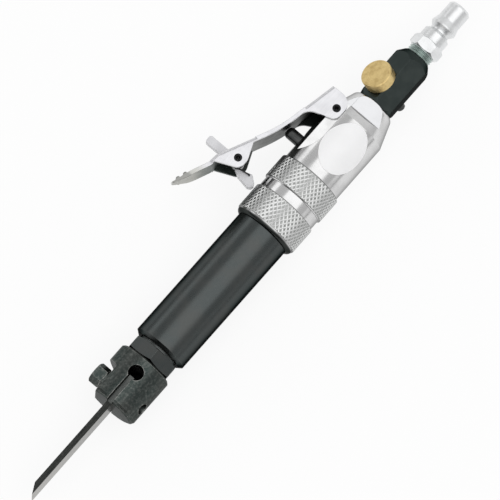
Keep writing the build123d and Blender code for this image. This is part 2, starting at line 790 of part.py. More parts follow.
def coil_heading(angle):
    """Unit direction of the wire where the coil winds clockwise towards +Z."""
    rise = coil_pitch / (2 * pi * coil_r)
    return Vector(sin(angle), -cos(angle), rise).normalized()


# Torsion spring of the lock: a hook in the foot, a straight leg, the coil and a leg under the lever's web
hub = Vector(lock_x, lock_y)
to_hub = hub - Vector(*hook_point)
leg_heading = atan2(to_hub.Y, to_hub.X) + asin(coil_r / to_hub.length)
coil_start = leg_heading + pi / 2
coil_end = radians(leg_b_heading + 90) - 2 * pi * coil_turns
steps = round((coil_start - coil_end) / (pi / 2))
turn = (coil_start - coil_end) / steps
coil = []
for step in range(steps + 1):
    angle = coil_start - step * turn
    z = coil_start_z + coil_pitch * step * turn / (2 * pi)
    coil.append((coil_point(angle, z), coil_heading(angle)))
first, first_heading = coil[0]
last, last_heading = coil[-1]
up = Vector(0, 0, 1)
corner = first - first_heading * sqrt(to_hub.length**2 - coil_r**2)
hook_top = corner - up * hook_r
leg_start = corner + first_heading * hook_r
with BuildPart() as lock_spring:
    with BuildLine() as wire_path:
        Line(hook_top - up * hook, hook_top)
        biarc(hook_top, up, leg_start, first_heading)
        Line(leg_start, first)
        for (start, heading), (end, end_heading) in zip(coil, coil[1:]):
            biarc(start, heading, end, end_heading)
        Line(last, last + last_heading * leg_b)
    with BuildSketch(Plane(hook_top - up * hook, z_dir=(0, 0, 1))):
        Circle(wire_r)
    sweep(path=wire_path.line)
save("lock_spring", lock_spring)

wire = wire_path.wire()
stations = [wire @ (i / spring_samples) for i in range(spring_samples + 1)]
half_turn = round(spring_samples * pi * coil_r / wire.length)
least_gap = min(
    (stations[i] - stations[j]).length - 2 * wire_r
    for i in range(len(stations))
    for j in range(i + half_turn, len(stations))
)
print(f"lock_spring: least gap to itself {least_gap:.2f} mm over {steps * degrees(turn) / 360:.2f} turns")

# Label: a thin oval on the housing's near side
label_dir = (0, sin(radians(label_angle)), cos(radians(label_angle)))
with BuildPart() as label_plate:
    with BuildSketch(along_x.offset(label_x - label_long / 2)):
        Circle(housing_r + label_thick)
        Circle(housing_r, mode=Mode.SUBTRACT)
    extrude(amount=label_long)
    with BuildSketch(Plane((label_x, 0, 0), x_dir=(1, 0, 0), z_dir=label_dir)):
        Ellipse(label_long / 2, label_tall / 2)
    extrude(amount=housing_r + past, mode=Mode.INTERSECT)
save("label_plate", label_plate)

# Hose adapter: hexagonal bar with a spigot, a cross bore for the regulator and a socket for the plug
adapter_corner = adapter_af / sqrt(3)
adapter_seal_r = inlet_bore_r - seal_deep
adapter_long = adapter_rear_x - housing_rear_x
with BuildPart() as hose_adapter:
    add(hexagon(along_x.offset(housing_rear_x), adapter_af, 120 - regulator_turn, adapter_long))
    revolve(
        half_section(
            (housing_rear_x, 0),
            (housing_rear_x, adapter_front_r),
            (housing_rear_x + adapter_front, adapter_corner),
            (adapter_rear_x - adapter_taper, adapter_corner),
            (adapter_rear_x, adapter_rear_r),
            (adapter_rear_x, 0),
        ),
        axis=Axis.X,
        mode=Mode.INTERSECT,
    )
    revolve(
        half_section(
            (spigot_x, 0),
            (spigot_x, inlet_bore_r),
            (adapter_seal_x - seal_half, inlet_bore_r),
            (adapter_seal_x - seal_half, adapter_seal_r),
            (adapter_seal_x + seal_half, adapter_seal_r),
            (adapter_seal_x + seal_half, inlet_bore_r),
            (housing_rear_x, inlet_bore_r),
            (housing_rear_x, 0),
        ),
        axis=Axis.X,
    )
    revolve(
        half_section(
            (spigot_x - past, 0),
            (spigot_x - past, adapter_bore_r),
            (socket_x, adapter_bore_r),
            (socket_x, socket_r),
            (adapter_rear_x + past, socket_r),
            (adapter_rear_x + past, 0),
        ),
        axis=Axis.X,
        mode=Mode.SUBTRACT,
    )
    revolve(
        half_section(
            (0, -adapter_corner),
            (tail_r + running, -adapter_corner),
            (tail_r + running, spindle_floor - running),
            (spindle_r + running, spindle_floor - running),
            (spindle_r + running, adapter_corner),
            (0, adapter_corner),
            plane=regulator_plane,
        ),
        axis=regulator_axis,
        mode=Mode.SUBTRACT,
    )
save("hose_adapter", hose_adapter)

with BuildPart() as adapter_seal:
    add(seal_ring(along_x.offset(adapter_seal_x), adapter_seal_r, inlet_bore_r))
save("adapter_seal", adapter_seal)

# Flow regulator: a cross spindle with a port, turned by a brass knob and held by a clip
spindle_seal_r = spindle_r - spindle_seal_deep
with BuildPart() as regulator_spindle:
    revolve(
        half_section(
            (0, tail_end),
            (tail_r, tail_end),
            (tail_r, clip_top - clip_thick),
            (clip_neck_r, clip_top - clip_thick),
            (clip_neck_r, clip_top),
            (tail_r, clip_top),
            (tail_r, spindle_floor),
            (spindle_r, spindle_floor),
            (spindle_r, spindle_seal_h - seal_half),
            (spindle_seal_r, spindle_seal_h - seal_half),
            (spindle_seal_r, spindle_seal_h + seal_half),
            (spindle_r, spindle_seal_h + seal_half),
            (spindle_r, knob_base),
            (stub_r, knob_base),
            (stub_r, stub_top),
            (0, stub_top),
            plane=regulator_plane,
        ),
        axis=regulator_axis,
    )
    with BuildSketch(along_x.offset(regulator_x)):
        Circle(spindle_port_r)
    extrude(amount=spindle_r + past, both=True, mode=Mode.SUBTRACT)
save("regulator_spindle", regulator_spindle)

across_spindle = Plane((regulator_x, 0, 0), x_dir=(1, 0, 0), z_dir=regulator_dir)
with BuildPart() as spindle_seal:
    add(seal_ring(across_spindle.offset(spindle_seal_h), spindle_seal_r, spindle_r))
save("spindle_seal", spindle_seal)

with BuildPart() as spindle_clip:
    with BuildSketch(across_spindle.offset(clip_top - clip_thick)):
        Circle(clip_r)
        Circle(clip_neck_r, mode=Mode.SUBTRACT)
        Rectangle(clip_r + past, clip_mouth, align=(Align.MIN, Align.CENTER), mode=Mode.SUBTRACT)
    extrude(amount=clip_thick)
save("spindle_clip", spindle_clip)

with BuildPart() as regulator_knob:
    revolve(
        half_section(
            (0, stub_top),
            (stub_r, stub_top),
            (stub_r, knob_base),
            (knob_r - knob_edge, knob_base),
            (knob_r, knob_base + knob_edge),
            (knob_r, knob_top - knob_edge),
            (knob_r - knob_edge, knob_top),
            (0, knob_top),
            plane=regulator_plane,
        ),
        axis=regulator_axis,
    )
save("regulator_knob", regulator_knob)

# Dirt screen and sealing washer at the bottom of the adapter's socket
with BuildPart() as inlet_screen:
    with BuildSketch(along_x.offset(socket_x)):
        Circle(socket_r - seal_gap)
        with HexLocations(screen_pitch / 2, 3, 3):
            Circle(screen_hole_r, mode=Mode.SUBTRACT)
    extrude(amount=screen_thick)
save("inlet_screen", inlet_screen)

plug_front_x = socket_x + screen_thick + washer_long
with BuildPart() as plug_seal:
    with BuildSketch(along_x.offset(socket_x + screen_thick)):
        Circle(socket_r - seal_gap)
        Circle(adapter_bore_r, mode=Mode.SUBTRACT)
    extrude(amount=washer_long)
save("plug_seal", plug_seal)

# Quick plug: threaded end, hexagon, collar, catch groove and nose
thread = [(adapter_rear_x, socket_r), (adapter_rear_x, thread_root_r)]
for turn_index in range(thread_count):
    thread_x = adapter_rear_x + turn_index * thread_pitch
    thread.append((thread_x + thread_pitch / 2, thread_crest_r))
    thread.append((thread_x + thread_pitch, thread_root_r))
with BuildPart() as air_plug:
    add(hexagon(along_x.offset(plug_hex_x), plug_af, plug_turn, plug_hex_end_x - plug_hex_x))
    revolve(
        half_section(
            (plug_hex_x, 0),
            (plug_hex_x, plug_af / 2 - hex_cut),
            (plug_hex_x + plug_front_corner, plug_af / sqrt(3)),
            (plug_hex_end_x - plug_rear_corner, plug_af / sqrt(3)),
            (plug_hex_end_x, plug_af / 2 - hex_cut),
            (plug_hex_end_x, 0),
        ),
        axis=Axis.X,
        mode=Mode.INTERSECT,
    )
    revolve(
        half_section(
            (plug_front_x, 0),
            (plug_front_x, socket_r),
            *thread,
            (plug_hex_x, thread_root_r),
            (plug_hex_x, 0),
        ),
        axis=Axis.X,
    )
    revolve(
        half_section(
            (plug_hex_end_x, 0),
            (plug_hex_end_x, plug_collar_r),
            (plug_collar_end_x - plug_slope, plug_collar_r),
            (plug_collar_end_x, plug_groove_r),
            (plug_groove_end_x, plug_groove_r),
            (plug_ridge_x, plug_collar_r),
            (plug_ridge_x + plug_ridge, plug_collar_r),
            (plug_ridge_end_x, plug_nose_r),
            (plug_end_x - plug_edge, plug_nose_r),
            (plug_end_x, plug_nose_r - plug_edge),
            (plug_end_x, 0),
        ),
        axis=Axis.X,
    )
    with BuildSketch(along_x.offset(plug_front_x)):
        Circle(plug_bore_r)
    extrude(amount=plug_end_x - plug_front_x, mode=Mode.SUBTRACT)
save("air_plug", air_plug)
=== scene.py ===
import math
import bpy
import numpy as np
from mathutils import Matrix, Vector


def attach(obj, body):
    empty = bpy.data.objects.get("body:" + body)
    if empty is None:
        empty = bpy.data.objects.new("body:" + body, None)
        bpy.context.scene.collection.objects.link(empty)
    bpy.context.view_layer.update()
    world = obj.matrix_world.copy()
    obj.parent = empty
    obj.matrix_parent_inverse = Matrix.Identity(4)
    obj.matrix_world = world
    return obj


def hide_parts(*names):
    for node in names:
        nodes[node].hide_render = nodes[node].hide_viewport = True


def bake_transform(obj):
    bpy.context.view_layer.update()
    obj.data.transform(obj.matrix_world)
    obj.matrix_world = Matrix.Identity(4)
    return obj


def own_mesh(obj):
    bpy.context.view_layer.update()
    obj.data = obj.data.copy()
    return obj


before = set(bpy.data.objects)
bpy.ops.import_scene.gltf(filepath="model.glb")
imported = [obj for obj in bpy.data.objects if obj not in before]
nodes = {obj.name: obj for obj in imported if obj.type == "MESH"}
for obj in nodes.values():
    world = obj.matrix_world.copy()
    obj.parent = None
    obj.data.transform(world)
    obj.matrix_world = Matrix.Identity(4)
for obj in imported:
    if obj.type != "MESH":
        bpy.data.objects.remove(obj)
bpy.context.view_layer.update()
mm = 0.001
print("frame loaded,", len(nodes), "nodes")


class Wire:  # one socket of a finish; + - * / on wires add Math nodes
    def __init__(self, tree, socket=None):
        self.tree, self.socket = tree, socket

    # any node: its type, its settings (set first), the values or wires of its sockets, the output wanted
    def node(self, kind, settings=None, sockets=None, out=0):
        made = self.tree.nodes.new(kind)
        for key, value in (settings or {}).items():
            if key == "stops":
                ramp = made.color_ramp.elements
                while len(ramp) < len(value):
                    ramp.new(0.5)
                for stop, (position, tint) in zip(ramp, value):
                    stop.position, stop.color = position, (*tint, 1.0)
            else:
                setattr(made, key, value)
        for key, value in (sockets or {}).items():
            if isinstance(value, Wire):
                self.tree.links.new(value.socket, made.inputs[key])
            else:
                made.inputs[key].default_value = value
        return Wire(self.tree, made.outputs[out] if made.outputs else None)

    def calc(self, operation, *values):
        return self.node("ShaderNodeMath", {"operation": operation}, dict(enumerate(values)))

    def __add__(self, other):
        return self.calc("ADD", self, other)

    def __sub__(self, other):
        return self.calc("SUBTRACT", self, other)

    def __rsub__(self, other):
        return self.calc("SUBTRACT", other, self)

    def __mul__(self, other):
        return self.calc("MULTIPLY", self, other)

    def __truediv__(self, other):
        return self.calc("DIVIDE", self, other)

    __radd__ = __add__
    __rmul__ = __mul__

    def size(self):
        return self.calc("ABSOLUTE", self)

    def most(self, other):
        return self.calc("MAXIMUM", self, other)

    # the long side of the right angle that this wire and another make
    def hypot(self, other):
        squares = self * self + other * other
        return squares.calc("SQRT", squares)

    # 0 below low, 1 above high, smooth between
    def ease(self, low, high):
        limits = {"Value": self, "From Min": low, "From Max": high}
        return self.node("ShaderNodeMapRange", {"interpolation_type": "SMOOTHSTEP"}, limits)

    # from one colour to another as this wire goes from 0 to 1: a Mix node's sockets 6 and 7, and output 2
    def tint(self, near, far):
        ends = [end if isinstance(end, Wire) else (*end, 1.0) for end in (near, far)]
        return self.node("ShaderNodeMix", {"data_type": "RGBA"}, {0: self, 6: ends[0], 7: ends[1]}, out=2)


# a new material, and the place on a piece in millimetres
def startFinish(name):
    material = bpy.data.materials.new(name)
    material.use_nodes = True
    material.node_tree.nodes.clear()
    start = Wire(material.node_tree)
    spot = start.node("ShaderNodeTexCoord", out="Object")
    place = start.node("ShaderNodeVectorMath", {"operation": "SCALE"}, {0: spot, "Scale": 1.0 / mm})
    return material, start, place


def stretched(place, factors):
    return place.node("ShaderNodeVectorMath", {"operation": "MULTIPLY"}, {0: place, 1: factors})


def noise(place, scale, detail=3.0, rough=0.55):
    sockets = {"Vector": place, "Scale": scale, "Detail": detail, "Roughness": rough}
    return place.node("ShaderNodeTexNoise", None, sockets)


# the X, Y and Z of a place or a direction
def parts(place):
    return [place.node("ShaderNodeSeparateXYZ", None, {0: place}, out=k) for k in range(3)]


# which way a surface faces, in its piece's own frame
def facing(start):
    return parts(start.node("ShaderNodeTexCoord", out="Normal"))


# the normal with edges rounded to a width in millimetres
def softEdge(start, width):
    return start.node("ShaderNodeBevel", {"samples": 8}, {"Radius": width * mm})


# how much a spot lies on an edge: the rounded normal set against the flat one, which part by full at an edge
def edgeShare(start, width, full=0.22):
    ends = {0: softEdge(start, width), 1: start.node("ShaderNodeNewGeometry", out="Normal")}
    along = start.node("ShaderNodeVectorMath", {"operation": "DOT_PRODUCT"}, ends, out="Value")
    return (1.0 - along).ease(full * 0.1, full)


def grey(level):
    return (level, level, level, 1.0)


# a height's bump, so many millimetres deep, over edges rounded to a width
def bumped(start, height, depth, width):
    sockets = {"Strength": 1.0, "Distance": depth * mm, "Height": height, "Normal": softEdge(start, width)}
    return start.node("ShaderNodeBump", None, sockets)


def closeFinish(start, sockets):
    shader = start.node("ShaderNodeBsdfPrincipled", None, sockets)
    start.node("ShaderNodeOutputMaterial", None, {"Surface": shader})


# blackened steel: dark oxide with blotches, turned rings, bright specks and rubbed edges; its grazing
# reflection is dull, and where the dictionary has a blind hole along Z, painted shade darkens it
def blackenedFinish(name, spec):
    material, start, place = startFinish(name)
    cloud = noise(place, scale=0.09, detail=4.0).ease(0.38, 0.68)
    mottle = noise(place, scale=0.7, detail=4.0, rough=0.65).ease(0.4, 0.75)
    grain = noise(place, scale=2.2, detail=2.0)
    rings = noise(stretched(place, (5.0, 0.06, 0.06)), scale=1.0, detail=2.0)
    rubbedAndLit = edgeShare(start, spec["edge"], spec["full"]) * noise(place, scale=0.55).ease(0.3, 0.62)
    cells = start.node("ShaderNodeTexVoronoi", None, {"Vector": place, "Scale": 0.085})
    speck = (1.0 - cells.ease(0.008, 0.02)) * spec["specks"]
    oxide = (mottle * spec["mottle"]).tint(cloud.tint(spec["dark"], spec["brown"]), spec["light"])
    colour = (rubbedAndLit * spec["rub"]).most(speck).tint(oxide, spec["bare"])
    roughness = grain * 0.1 + cloud * 0.06 + spec["rough"]
    if "hole" in spec:
        hole = spec["hole"]
        x, y, z = parts(place)
        fromHole = (x - hole["x"]).hypot(y - hole["y"])
        # painted shade on the walls of the blind hole
        soot = (1.0 - fromHole.ease(*hole["rim"])) * z.ease(*hole["floor"])
        colour = soot.tint(colour, hole["soot"])
        roughness = roughness + soot * 0.2
    closeFinish(start, {
        "Base Color": colour,
        "Metallic": 1.0,
        "Roughness": roughness,
        "Specular Tint": grey(spec["graze"]),
        "Normal": bumped(start, rings * 0.7 + grain * 0.3, spec["ringDeep"], width=0.3),
    })
    return material


# turned aluminium: pale metal, lathe lines, faint smears, grease and painted shade near the axis, a nose
# painted dark as shade and a reflection of the barrel, and duller flats where the dictionary says that they
# were milled
def aluminiumFinish(name, spec):
    material, start, place = startFinish(name)
    x, y, z = parts(place)
    film = noise(place, scale=0.12, detail=4.0).ease(0.42, 0.72)
    lines = noise(stretched(place, (4.0, 0.04, 0.04)), scale=1.0)
    fine = noise(place, scale=3.0, detail=2.0)
    # grease and painted shade at low radii: near the axis, and in the knurl's grooves
    low = (1.0 - y.hypot(z).ease(*spec["greaseAndShadeOver"])) * spec["greaseAndShade"]
    # painted shade and a painted reflection of the dark barrel on the nose
    nose = 1.0 - x.ease(*spec["noseOver"])
    colour = low.tint(film.tint(spec["pale"], spec["smear"]), spec["greaseAndShadeTone"])
    roughness = film * 0.07 + fine * 0.05 + low * 0.12 + nose * 0.1 + spec["rough"]
    if "milled" in spec:
        milled = facing(start)[2].size().ease(0.97, 0.995) * x.ease(*spec["milledOver"])
        colour = milled.tint(colour, spec["milled"])
        roughness = roughness + milled * 0.12
    closeFinish(start, {
        "Base Color": nose.tint(colour, spec["nose"]),
        "Metallic": 1.0,
        "Roughness": roughness,
        "Specular Tint": grey(spec["graze"]),
        "Normal": bumped(start, lines, spec["lineDeep"], width=spec["soft"]),
    })
    return material


# plated or bare bar and wire: streaks along one axis, small pits, brighter edges, and oil up to a place on X
# where the dictionary has some
def platedFinish(name, spec):
    material, start, place = startFinish(name)
    streak = noise(stretched(place, spec["streak"]), scale=1.0)
    cloud = noise(place, scale=0.16, detail=4.0).ease(0.36, 0.7)
    pits = noise(place, scale=1.7).ease(0.62, 0.74)
    edge = edgeShare(start, width=0.5)
    body = (streak.ease(0.35, 0.65) * 0.55 + cloud * 0.45).tint(spec["pale"], spec["smear"])
    colour = (edge * spec["edgeShare"]).tint((pits * spec["pits"]).tint(body, spec["pit"]), spec["edge"])
    if "oil" in spec:
        oiled = 1.0 - parts(place)[0].ease(*spec["oilOver"])
        colour = oiled.tint(colour, spec["oil"])
    closeFinish(start, {
        "Base Color": colour,
        "Metallic": spec["metal"],
        "Roughness": cloud * 0.1 + streak * 0.08 + spec["rough"],
        "Normal": bumped(start, streak * 0.6 - pits * 0.4, spec["deep"], width=0.25),
    })
    return material


# lever sheet: bright outside; its ears, by their facing, a paler and bluer copy of it: painted light. Inside,
# painted shade, toned along the length by the stops; the tongue's edges darker, and painted shade on its
# ridges
def leverFinish(name, spec):
    material, start, place = startFinish(name)
    x, y, z = parts(place)
    faceY, faceZ = facing(start)[1:]
    streak = noise(stretched(place, (0.12, 1.6, 1.6)), scale=1.0)
    cloud = noise(place, scale=0.16, detail=4.0).ease(0.36, 0.7)
    fine = noise(place, scale=1.3)
    mixed = streak.ease(0.35, 0.65) * 0.5 + cloud * 0.5
    # the ears, facing sideways, take their own paler, bluer copy of the plate colour: painted light
    ears = faceZ.size().ease(0.6, 0.95)
    plate = ears.tint(mixed.tint(spec["bright"], spec["smear"]), mixed.tint(spec["ear"], spec["earSmear"]))
    # painted shade inside the sheet, under the web and on the ears' inner faces, its tone along X from the
    # stops
    first, last = spec["insideShade"][0][0], spec["insideShade"][-1][0]
    stops = [((at - first) / (last - first), tone) for at, tone in spec["insideShade"]]
    insideShade = start.node("ShaderNodeValToRGB", {"stops": stops}, {0: (x - first) / (last - first)})
    inner = spec["inner"]
    underWeb = (1.0 - z.size().ease(inner + 0.02, inner + 0.08)) * (1.0 - faceY.ease(-0.5, -0.2))
    innerEar = (0.0 - faceZ * z).ease(inner * 0.6, inner * 0.8)
    edgeOn = (1.0 - faceZ.size().ease(0.6, 0.9)) * (1.0 - faceY.ease(-0.1, 0.2))
    farEdge = (1.0 - z.ease(-inner, 0.1 - inner)) * edgeOn
    inside = underWeb.most(innerEar.most(farEdge))
    dull = (1.0 - x.ease(*spec["dullOver"])) * faceZ.size().ease(0.3, 0.6)
    tongue = spec["tongue"]
    # painted shade on the ridges that stand above the tongue's top
    aboveTop = (x - tongue["tipX"]) * tongue["slope"] + y - tongue["tipY"]
    ridge = aboveTop.ease(0.1, 0.5) * (1.0 - x.ease(*tongue["ridgesEnd"]))
    outside = (ridge * cloud.ease(-0.6, 0.6)).tint(dull.tint(plate, spec["dull"]), spec["greaseAndShade"])
    closeFinish(start, {
        "Base Color": inside.tint(outside, insideShade),
        "Metallic": 1.0,
        "Roughness": cloud * 0.08 + fine * 0.08 + inside * 0.14 + spec["rough"],
        "Normal": bumped(start, streak * 0.6 + fine * 0.4, spec["deep"], width=0.25),
    })
    return material


# blade: its broad faces ground along the length and brighter towards the edge, its narrow faces left black,
# and lighter where they lie in the chuck's slot: painted light against the slot's shade
def bladeFinish(name, spec):
    material, start, place = startFinish(name)
    x, z = parts(place)[::2]
    streak = noise(stretched(place, (0.12, 2.0, 2.0)), scale=1.0).ease(0.3, 0.7)
    speckle = noise(place, scale=1.5, detail=4.0, rough=0.7).ease(0.5, 0.72)
    narrow = z.size().ease(*spec["narrow"])
    steel = x.ease(*spec["fade"]).tint(spec["tip"], spec["ground"])
    ground = (streak * 0.4 + speckle * 0.3).tint(steel, spec["scratch"])
    oxide = (speckle * 0.5 + streak * 0.25).tint(spec["black"], spec["fleck"])
    # painted light on the narrow faces inside the chuck's slot
    sides = x.ease(*spec["slotted"]).tint(oxide, spec["rubbedAndLit"])
    closeFinish(start, {
        "Base Color": narrow.tint(ground, sides),
        "Metallic": 1.0,
        "Roughness": speckle * 0.12 + narrow * 0.1 + spec["rough"],
        "Specular Tint": grey(spec["graze"]),
        "Normal": bumped(start, streak * 0.5 + speckle * 0.5, spec["deep"], width=0.2),
    })
    return material


# anodised black: even, slightly green, with a fine blasted grain and pale rubbed corners
def anodisedFinish(name, spec):
    material, start, place = startFinish(name)
    grain = noise(place, scale=4.5, detail=2.0)
    cloud = noise(place, scale=0.11).ease(0.35, 0.7)
    rubbedAndLit = edgeShare(start, width=0.45) * noise(place, scale=0.5).ease(0.35, 0.65)
    colour = (rubbedAndLit * spec["rub"]).tint(cloud.tint(spec["dark"], spec["light"]), spec["bare"])
    closeFinish(start, {
        "Base Color": colour,
        "Metallic": 1.0,
        "Roughness": grain * 0.12 + spec["rough"],
        "Specular Tint": grey(spec["graze"]),
        "Normal": bumped(start, grain, spec["deep"], width=0.3),
    })
    return material


# turned brass: rings round the knob's own axis, brown tarnish in clouds and fine dark flecks
def brassFinish(name, spec):
    material, start, place = startFinish(name)
    x, y, z = parts(place)
    lean = math.radians(spec["lean"])
    side = y * math.cos(lean) - z * math.sin(lean)
    distance = (x - spec["axisX"]).hypot(side)
    turned = noise(start.node("ShaderNodeCombineXYZ", None, {0: distance * spec["rings"]}), scale=1.0)
    cloud = noise(place, scale=0.3, detail=5.0, rough=0.6).ease(0.36, 0.7)
    flecks = noise(place, scale=1.9, detail=4.0).ease(0.58, 0.72)
    aged = (cloud * 0.6 + turned.ease(0.4, 0.6) * 0.4).tint(spec["bright"], spec["tarnish"])
    colour = (flecks * 0.35).tint(aged, spec["fleck"])
    closeFinish(start, {
        "Base Color": colour,
        "Metallic": spec["metal"],
        "Roughness": cloud * 0.14 + flecks * 0.1 + spec["rough"],
        "Normal": bumped(start, turned * 0.7 + flecks * 0.3, spec["deep"], width=0.3),
    })
    return material


# rubber, paint and film: a base colour with a slow cloud in it and a fine skin, and painted shade round the
# pin where the dictionary has one
def skinFinish(name, spec):
    material, start, place = startFinish(name)
    skin = noise(place, scale=spec["skin"], detail=2.0)
    colour = noise(place, scale=spec["cloud"]).ease(0.3, 0.7).tint(spec["base"], spec["second"])
    if "pin" in spec:
        pin = spec["pin"]
        x, y = parts(place)[:2]
        fromPin = (x - pin["x"]).hypot(y - pin["y"])
        # painted shade round the pin, where the hub sits between the lever's ears
        colour = (1.0 - fromPin.ease(*pin["over"])).tint(colour, pin["greaseAndShadeTone"])
    closeFinish(start, {
        "Base Color": colour,
        "Metallic": 0.0,
        "Roughness": skin * 0.12 + spec["rough"],
        "Coat Weight": spec["coat"],
        "Normal": bumped(start, skin, spec["deep"], width=0.3),
    })
    return material


# the finishes: colours are linear, places, depths and widths in millimetres, and a pair of places is where a
# change starts and ends
barrelSteel = blackenedFinish("barrelSteel", {
    "dark": (0.074, 0.083, 0.083), "brown": (0.084, 0.089, 0.087), "light": (0.115, 0.122, 0.120),
    "bare": (0.30, 0.29, 0.27), "mottle": 0.15, "rough": 0.22, "graze": 0.15, "ringDeep": 0.005,
    "edge": 0.5, "full": 0.22, "rub": 0.5, "specks": 0.7,
})
chuckSteel = blackenedFinish("chuckSteel", {
    "dark": (0.044, 0.056, 0.053), "brown": (0.062, 0.068, 0.064), "light": (0.175, 0.184, 0.173),
    "bare": (0.36, 0.36, 0.34), "mottle": 0.55, "rough": 0.27, "graze": 0.5, "ringDeep": 0.01,
    "edge": 0.8, "full": 0.08, "rub": 0.75, "specks": 0.3,
    "hole": {"x": -97.8, "y": -0.8, "rim": (4.02, 4.08), "floor": (-10.3, -10.1),
             "soot": (0.010, 0.011, 0.011)},
})
polishedAluminium = aluminiumFinish("polishedAluminium", {
    "pale": (0.70, 0.70, 0.70), "smear": (0.63, 0.63, 0.63), "greaseAndShadeTone": (0.33, 0.33, 0.32),
    "greaseAndShade": 0.4, "greaseAndShadeOver": (5.0, 9.0), "milled": (0.68, 0.685, 0.70), "milledOver": (76.2, 76.6),
    "nose": (0.044, 0.048, 0.046), "noseOver": (1.5, 2.7), "rough": 0.16, "graze": 0.4,
    "lineDeep": 0.004, "soft": 0.25,
})
knurledAluminium = aluminiumFinish("knurledAluminium", {
    "pale": (0.69, 0.695, 0.69), "smear": (0.63, 0.635, 0.63), "greaseAndShadeTone": (0.23, 0.24, 0.23),
    "greaseAndShade": 0.7, "greaseAndShadeOver": (17.74, 17.84), "nose": (0.13, 0.135, 0.13), "noseOver": (1.3, 2.5),
    "rough": 0.18, "graze": 0.4, "lineDeep": 0.001, "soft": 0.1,
})
leverPlate = leverFinish("leverPlate", {
    "bright": (0.68, 0.68, 0.69), "smear": (0.61, 0.61, 0.62), "ear": (0.69, 0.69, 0.71),
    "earSmear": (0.63, 0.63, 0.65), "dull": (0.51, 0.51, 0.485), "dullOver": (0.0, 8.0),
    "greaseAndShade": (0.30, 0.30, 0.285), "rough": 0.25, "deep": 0.006,
    "tongue": {"tipX": -10.8, "tipY": 51.0, "slope": 0.428, "ridgesEnd": (-2.0, -1.6)},
    "inner": 10.0,  # from the middle to the inside of an ear
    "insideShade": [
        (-11.0, (0.50, 0.50, 0.47)), (-1.0, (0.42, 0.42, 0.385)), (4.5, (0.17, 0.185, 0.17)),
        (9.5, (0.095, 0.112, 0.104)), (14.0, (0.030, 0.039, 0.036)), (24.0, (0.05, 0.055, 0.052)),
        (30.0, (0.20, 0.205, 0.20)), (38.0, (0.11, 0.115, 0.11)), (47.0, (0.022, 0.026, 0.024)),
        (80.0, (0.012, 0.015, 0.014)),
    ],
})
plugZinc = platedFinish("plugZinc", {
    "streak": (2.5, 0.1, 0.1), "pale": (0.80, 0.81, 0.815), "smear": (0.74, 0.75, 0.755),
    "edge": (0.84, 0.85, 0.85), "edgeShare": 0.4, "pit": (0.46, 0.48, 0.48), "pits": 0.2,
    "oil": (0.42, 0.49, 0.465), "oilOver": (122.8, 123.0), "metal": 1.0, "rough": 0.29, "deep": 0.005,
})
bladeSteel = bladeFinish("bladeSteel", {
    "tip": (0.60, 0.59, 0.56), "ground": (0.41, 0.41, 0.395), "scratch": (0.25, 0.245, 0.23),
    "black": (0.020, 0.022, 0.021), "fleck": (0.10, 0.10, 0.095), "fade": (-172.0, -118.0),
    "rubbedAndLit": (0.115, 0.122, 0.117), "slotted": (-117.4, -116.4), "narrow": (8.9, 8.96),
    "rough": 0.3, "graze": 0.7, "deep": 0.008,
})
darkPin = platedFinish("darkPin", {
    "streak": (1.5, 0.2, 1.5), "pale": (0.07, 0.072, 0.072), "smear": (0.04, 0.042, 0.042),
    "edge": (0.2, 0.2, 0.2), "edgeShare": 0.3, "pit": (0.03, 0.03, 0.03), "pits": 0.3,
    "metal": 0.9, "rough": 0.22, "deep": 0.003,
})
rollPin = platedFinish("rollPin", {
    "streak": (1.5, 1.5, 0.2), "pale": (0.016, 0.017, 0.017), "smear": (0.010, 0.011, 0.011),
    "edge": (0.05, 0.05, 0.05), "edgeShare": 0.3, "pit": (0.008, 0.008, 0.008), "pits": 0.3,
    "metal": 0.8, "rough": 0.34, "deep": 0.003,
})
groundSteel = platedFinish("groundSteel", {
    "streak": (3.0, 0.1, 0.1), "pale": (0.60, 0.60, 0.60), "smear": (0.52, 0.52, 0.52),
    "edge": (0.72, 0.72, 0.72), "edgeShare": 0.4, "pit": (0.3, 0.3, 0.3), "pits": 0.2,
    "oil": (0.5, 0.5, 0.5), "oilOver": (-78.2, -78.0), "metal": 1.0, "rough": 0.2, "deep": 0.003,
})
bronzeBush = platedFinish("bronzeBush", {
    "streak": (1.2, 1.2, 1.2), "pale": (0.62, 0.42, 0.22), "smear": (0.48, 0.31, 0.15),
    "edge": (0.7, 0.52, 0.3), "edgeShare": 0.3, "pit": (0.16, 0.1, 0.05), "pits": 0.8,
    "oil": (0.4, 0.27, 0.14), "oilOver": (-80.2, -80.0), "metal": 1.0, "rough": 0.36, "deep": 0.01,
})
springWire = platedFinish("springWire", {
    "streak": (2.0, 2.0, 2.0), "pale": (0.045, 0.045, 0.047), "smear": (0.028, 0.028, 0.03),
    "edge": (0.1, 0.1, 0.1), "edgeShare": 0.0, "pit": (0.1, 0.09, 0.08), "pits": 0.3,
    "metal": 0.7, "rough": 0.3, "deep": 0.002,
})
adapterBlack = anodisedFinish("adapterBlack", {
    "dark": (0.042, 0.052, 0.050), "light": (0.054, 0.065, 0.062), "bare": (0.16, 0.17, 0.17),
    "rub": 0.3, "rough": 0.32, "graze": 0.2, "deep": 0.005,
})
knobBrass = brassFinish("knobBrass", {
    "axisX": 96.9, "lean": 33.0, "rings": 2.6, "bright": (0.74, 0.57, 0.265),
    "tarnish": (0.56, 0.40, 0.165), "fleck": (0.36, 0.25, 0.10), "metal": 0.95, "rough": 0.33, "deep": 0.014,
})
lockPaint = skinFinish("lockPaint", {
    "base": (0.74, 0.74, 0.76), "second": (0.68, 0.68, 0.70), "cloud": 0.3, "skin": 1.4,
    "pin": {"x": 19.2, "y": 32.8, "over": (3.68, 4.6), "greaseAndShadeTone": (0.03, 0.031, 0.03)},
    "rough": 0.34, "coat": 0.3, "deep": 0.006,
})
